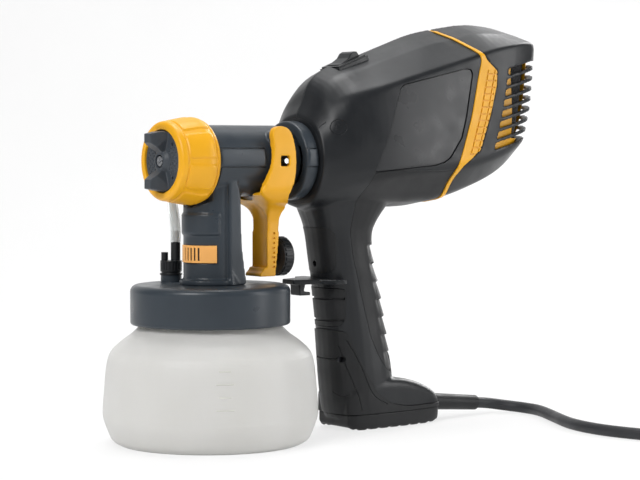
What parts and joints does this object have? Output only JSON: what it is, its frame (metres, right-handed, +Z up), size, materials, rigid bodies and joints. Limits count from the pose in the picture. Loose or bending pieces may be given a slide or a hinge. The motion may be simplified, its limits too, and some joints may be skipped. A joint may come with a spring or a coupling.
{
  "type": "handheld paint sprayer",
  "caption": "Handheld turbine paint sprayer with a screw-on cup, a sprung trigger, a turning union nut and air cap, a motor housing with a grille, and a corded pistol grip",
  "frame": {"origin": "on the table, at the middle of the cup's base", "axes": "+X towards the rear of the sprayer (spray leaves along -X), +Z up, +Y towards the side away from the pictured one"},
  "size_m": [0.3897, 0.3156, 0.2546],
  "materials": {
    "cup_plastic": "milky translucent polyethylene",
    "yellow_plastic": "satin moulded",
    "slate_plastic": "satin moulded blue-grey",
    "black_plastic": "satin moulded black",
    "soft_grip": "soft overmould",
    "orange_insert": "satin",
    "steel": "plain",
    "brass": "plain",
    "clear_tube": "clear flexible plastic",
    "natural_plastic": "uncoloured",
    "seal_rubber": "seal",
    "foam": "open-cell filter foam",
    "inner_plastic": "moulded inner part",
    "aluminium": "cast",
    "winding": "laminations and copper winding",
    "cord_rubber": "cord sheath"
  },
  "bodies": {
    "turbine_unit": {"housing_left": "black_plastic", "housing_right": "black_plastic", "side_panel_left": "black_plastic", "side_panel_right": "black_plastic", "accent_band": "yellow_plastic", "filter_frame": "yellow_plastic", "filter_foam": "foam", "socket_ring": "black_plastic", "socket_seal": "seal_rubber", "air_duct": "inner_plastic", "turbine_casing": "inner_plastic", "diffuser": "inner_plastic", "motor_can": "steel", "stator": "winding", "motor_bearings": "steel", "can_mount": "seal_rubber", "casing_mount": "seal_rubber", "switch_bezel": "black_plastic", "switch_body": "inner_plastic", "rear_grip": "soft_grip", "finger_grip": "soft_grip", "front_cover": "soft_grip", "base_foot": "soft_grip", "hook_plate": "black_plastic", "housing_screws": "steel", "cord_clamp": "inner_plastic", "strain_relief": "soft_grip", "power_cord": "cord_rubber", "cord_coil": "cord_rubber", "plug_body": "cord_rubber", "plug_blades": "brass"},
    "spray_head": {"head_body": "slate_plastic", "column_insert": "orange_insert", "nozzle": "steel", "needle_gland": "brass", "spring_seat": "slate_plastic", "needle_spring": "steel", "trigger_pin": "steel", "cup_lid": "slate_plastic", "valve_membrane": "natural_plastic", "valve_cap": "black_plastic", "air_tube": "clear_tube", "suction_tube": "natural_plastic", "cup_gasket": "natural_plastic"},
    "nut": {"union_nut": "yellow_plastic"},
    "spray_cap": {"air_cap": "black_plastic"},
    "needle_set": {"needle": "steel", "needle_pin": "steel"},
    "trigger_arm": {"trigger": "yellow_plastic"},
    "knob": {"flow_knob": "black_plastic", "knob_stud": "steel"},
    "paint_cup": {"cup": "cup_plastic"},
    "filter_lid": {"rear_cover": "black_plastic"},
    "rocker": {"power_rocker": "black_plastic"},
    "rotor": {"impeller_front": "aluminium", "impeller_rear": "aluminium", "armature": "winding", "motor_shaft": "steel"}
  },
  "joints": [
    {"name": "head_twist", "type": "hinge", "parent": "turbine_unit", "child": "spray_head", "pos_m": [0.07, 0, 0.167], "axis": [1, 0, 0], "range_deg": [0, 40]},
    {"name": "trigger_pull", "type": "hinge", "parent": "spray_head", "child": "trigger_arm", "pos_m": [0.0345, 0, 0.1802], "axis": [0, -1, 0], "range_deg": [0, 14], "stiffness_Nm_per_rad": 1.5, "springref_deg": -17.19},
    {"name": "needle_slide", "type": "slide", "parent": "spray_head", "child": "needle_set", "axis": [1, 0, 0], "range_m": [0, 0.0035]},
    {"name": "flow_knob_turn", "type": "hinge", "parent": "trigger_arm", "child": "knob", "pos_m": [0.05, 0, 0.1091], "axis": [1, 0, 0], "range_deg": [0, 300]},
    {"name": "nut_turn", "type": "hinge", "parent": "spray_head", "child": "nut", "pos_m": [-0.02, 0, 0.167], "axis": [1, 0, 0], "continuous": true},
    {"name": "spray_cap_turn", "type": "hinge", "parent": "spray_head", "child": "spray_cap", "pos_m": [-0.033, 0, 0.167], "axis": [1, 0, 0], "range_deg": [0, 90]},
    {"name": "cup_off", "type": "slide", "parent": "spray_head", "child": "paint_cup", "axis": [0, 0, -1], "range_m": [0, 0.1]},
    {"name": "rocker_tilt", "type": "hinge", "parent": "turbine_unit", "child": "rocker", "pos_m": [0.10178, 0, 0.22314], "axis": [0, 1, 0], "range_deg": [0, 8]},
    {"name": "filter_lid_off", "type": "slide", "parent": "turbine_unit", "child": "filter_lid", "axis": [0.972, 0, 0.2351], "range_m": [0, 0.04]},
    {"name": "rotor_spin", "type": "hinge", "parent": "turbine_unit", "child": "rotor", "pos_m": [0.13, 0, 0.201], "axis": [1, 0, 0], "continuous": true}
  ],
  "couplings": [
    {"joint": "needle_slide", "follows": "trigger_pull", "m_per_rad": 0.0132}
  ]
}
